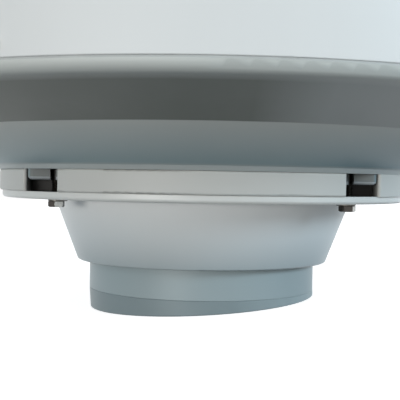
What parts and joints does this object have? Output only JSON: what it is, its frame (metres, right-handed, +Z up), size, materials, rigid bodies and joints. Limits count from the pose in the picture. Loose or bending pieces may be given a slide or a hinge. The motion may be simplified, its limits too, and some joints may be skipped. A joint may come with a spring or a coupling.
{
  "type": "marine dome antenna",
  "caption": "White marine dome antenna: tall radome and bevelled base pan over a stabilised dish, on a flared bolted pedestal with a round collar and a tapered deck wedge",
  "frame": {"origin": "on the dome's axis, level with the lowest point of the tapered deck wedge", "axes": "+Z is up along the dome's axis, -Y is the front seen in the reference view, and the wedge is thickest at -X"},
  "size_m": [0.692, 0.692, 0.7514],
  "materials": {
    "wedge_grey": "satin moulded fibreglass, slightly worn",
    "pedestal_white": "gloss white paint on cast metal",
    "pan_white": "gloss white gelcoat on fibreglass",
    "radome_white": "gloss white gelcoat on fibreglass",
    "screw_white": "stainless screw with a white nylon cap",
    "stainless": "stainless steel",
    "black_rubber": "black rubber",
    "brass": "machined brass",
    "bronze": "sintered bronze",
    "nickel": "nickel-plated metal",
    "black_plastic": "black moulded plastic",
    "cast_aluminium": "bead-blasted cast aluminium",
    "sheet_aluminium": "clear-anodised aluminium sheet",
    "gear_steel": "oiled gear steel",
    "chrome": "polished bearing steel",
    "black_metal": "black painted motor case",
    "board_green": "green circuit board",
    "tin": "tinned steel shield",
    "dish_paint": "matt white paint on spun aluminium",
    "feed_plastic": "cross-linked polystyrene",
    "cast_iron": "painted cast iron",
    "lnb_grey": "grey painted die casting"
  },
  "bodies": {
    "mount": {"deck_wedge": "wedge_grey", "pedestal_collar": "pedestal_white", "pedestal_bowl": "pedestal_white", "pedestal_lip": "pedestal_white", "neck_screws": "stainless", "neck_nuts": "stainless", "spacer_ring": "pedestal_white", "dome_bolts": "stainless", "bolt_washers": "stainless", "stud_bushes": "black_rubber", "base_pan": "pan_white", "threaded_inserts": "brass", "radome": "radome_white", "dome_seal": "black_rubber", "radome_screws": "screw_white", "coax_ports": "nickel", "power_port": "black_plastic", "azimuth_post": "cast_aluminium", "post_screws": "stainless", "azimuth_gear": "gear_steel", "bearing_inner_ring": "stainless", "bearing_balls": "chrome", "bearing_nut": "stainless", "rotary_joint_stator": "nickel"},
    "turntable": {"turntable": "cast_aluminium", "bearing_outer_ring": "stainless", "rotary_joint_rotor": "nickel", "rotor_bridge": "sheet_aluminium", "azimuth_motor": "black_metal", "left_arm": "sheet_aluminium", "right_arm": "sheet_aluminium", "yoke_crossbar": "sheet_aluminium", "pivot_bushes": "bronze", "elevation_motor": "black_metal", "control_board": "board_green", "board_standoffs": "brass", "shield_can": "tin"},
    "azimuth_pinion": {"azimuth_pinion": "brass"},
    "dish": {"reflector": "dish_paint", "dish_hub": "cast_aluminium", "dish_bracket": "sheet_aluminium", "pivot_shafts": "stainless", "elevation_sector": "gear_steel", "feed_tube": "nickel", "feed_lens": "feed_plastic", "subreflector": "nickel", "counterweights": "cast_iron", "gyro_box": "black_plastic", "skew_motor": "black_metal"},
    "elevation_pinion": {"elevation_pinion": "brass"},
    "lnb": {"lnb": "lnb_grey", "skew_gear": "black_plastic"},
    "skew_pinion": {"skew_pinion": "brass"}
  },
  "joints": [
    {"name": "azimuth", "type": "hinge", "parent": "mount", "child": "turntable", "pos_m": [0, 0, 0.18], "axis": [0, 0, 1], "continuous": true},
    {"name": "azimuth_pinion_spin", "type": "hinge", "parent": "turntable", "child": "azimuth_pinion", "pos_m": [0, 0.084, 0.16], "axis": [0, 0, 1], "continuous": true},
    {"name": "elevation", "type": "hinge", "parent": "turntable", "child": "dish", "pos_m": [0, 0, 0.431], "axis": [-1, 0, 0], "range_deg": [-30, 35]},
    {"name": "elevation_pinion_spin", "type": "hinge", "parent": "turntable", "child": "elevation_pinion", "pos_m": [0.085, 0, 0.353], "axis": [-1, 0, 0], "range_deg": [-120, 120]},
    {"name": "skew", "type": "hinge", "parent": "dish", "child": "lnb", "pos_m": [0, 0, 0.431], "axis": [0, -0.766, 0.6428], "range_deg": [-90, 90]},
    {"name": "skew_pinion_spin", "type": "hinge", "parent": "dish", "child": "skew_pinion", "pos_m": [0, 0.02796, 0.46432], "axis": [0, -0.766, 0.6428], "range_deg": [-205, 205]}
  ],
  "couplings": [
    {"joint": "azimuth_pinion_spin", "follows": "azimuth", "ratio": 3.6667},
    {"joint": "elevation_pinion_spin", "follows": "elevation", "ratio": -3.3333},
    {"joint": "skew_pinion_spin", "follows": "skew", "ratio": -2.2222}
  ]
}
